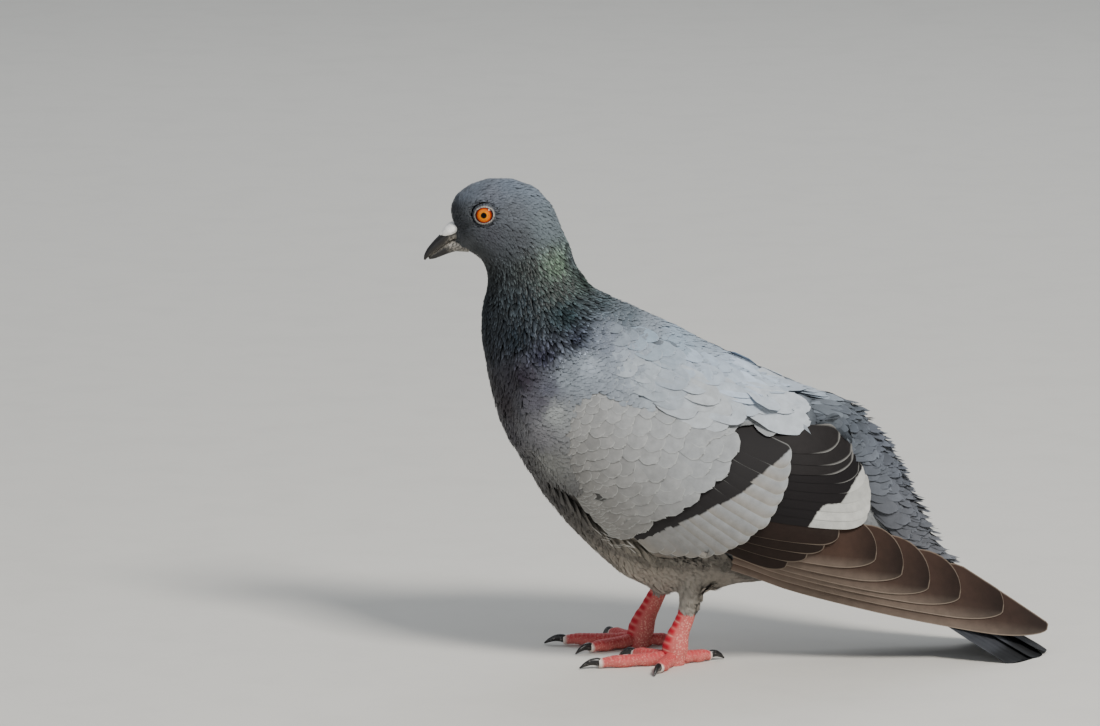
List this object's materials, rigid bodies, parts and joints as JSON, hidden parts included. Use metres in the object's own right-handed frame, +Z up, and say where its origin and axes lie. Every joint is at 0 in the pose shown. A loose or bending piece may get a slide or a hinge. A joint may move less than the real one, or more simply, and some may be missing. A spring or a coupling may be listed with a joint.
{
  "type": "standing feral pigeon, still life-size model",
  "caption": "Life-size still model of a feral pigeon standing on both feet with folded wings, head in profile and tail laid on the ground.",
  "frame": {"origin": "On the floor under the middle of the bird's length and breadth.", "axes": "+Z up, the bird faces -X, its left side is toward -Y."},
  "size_m": [0.2523, 0.1004, 0.1953],
  "materials": {
    "head_plumage": "soft slate grey body feathers",
    "neck_plumage": "dark feathers with a green and purple gloss",
    "breast_plumage": "dark slate feathers with a faint purple gloss",
    "belly_plumage": "soft grey body feathers",
    "back_plumage": "smooth pale grey scapular feathers",
    "rump_plumage": "ruffled dark slate feathers with paler edges",
    "covert_plumage": "smooth pale grey covert feathers with a dark bar",
    "secondary_feathers": "flight feathers with a dark bar and pale tips",
    "primary_feathers": "brown grey flight feathers with thin pale edges",
    "tail_feathers": "dark grey tail feathers",
    "bill_horn": "dark horn with a dull polish",
    "cere_skin": "chalky white bare skin",
    "eye": "wet orange iris with a black pupil",
    "leg_skin": "red scaled skin with pale scale edges",
    "claw_horn": "dark horn"
  },
  "bodies": {
    "root": {"bill_lower": "bill_horn", "bill_upper": "bill_horn", "breast": "breast_plumage", "cere": "cere_skin", "eye_left": "eye", "eye_right": "eye", "hallux_claw_left": "claw_horn", "hallux_claw_right": "claw_horn", "hallux_left": "leg_skin", "hallux_right": "leg_skin", "head": "head_plumage", "inner_claw_left": "claw_horn", "inner_claw_right": "claw_horn", "inner_primaries_left": "primary_feathers", "inner_primaries_right": "primary_feathers", "inner_toe_left": "leg_skin", "inner_toe_right": "leg_skin", "mantle": "back_plumage", "middle_claw_left": "claw_horn", "middle_claw_right": "claw_horn", "middle_primaries_left": "primary_feathers", "middle_primaries_right": "primary_feathers", "middle_toe_left": "leg_skin", "middle_toe_right": "leg_skin", "neck": "neck_plumage", "outer_claw_left": "claw_horn", "outer_claw_right": "claw_horn", "outer_primaries_left": "primary_feathers", "outer_primaries_right": "primary_feathers", "outer_secondaries_left": "secondary_feathers", "outer_secondaries_right": "secondary_feathers", "outer_toe_left": "leg_skin", "outer_toe_right": "leg_skin", "rump": "rump_plumage", "secondaries_left": "secondary_feathers", "secondaries_right": "secondary_feathers", "shank_left": "leg_skin", "shank_right": "leg_skin", "tail_feather_1_left": "tail_feathers", "tail_feather_1_right": "tail_feathers", "tail_feather_2_left": "tail_feathers", "tail_feather_2_right": "tail_feathers", "tail_feather_3_left": "tail_feathers", "tail_feather_3_right": "tail_feathers", "tail_feather_4_left": "tail_feathers", "tail_feather_4_right": "tail_feathers", "tail_feather_5_left": "tail_feathers", "tail_feather_5_right": "tail_feathers", "tail_feather_6_left": "tail_feathers", "tail_feather_6_right": "tail_feathers", "tertials_left": "secondary_feathers", "tertials_right": "secondary_feathers", "thigh_left": "belly_plumage", "thigh_right": "belly_plumage", "trunk": "belly_plumage", "wing_coverts_left": "covert_plumage", "wing_coverts_right": "covert_plumage"}
  },
  "joints": []
}
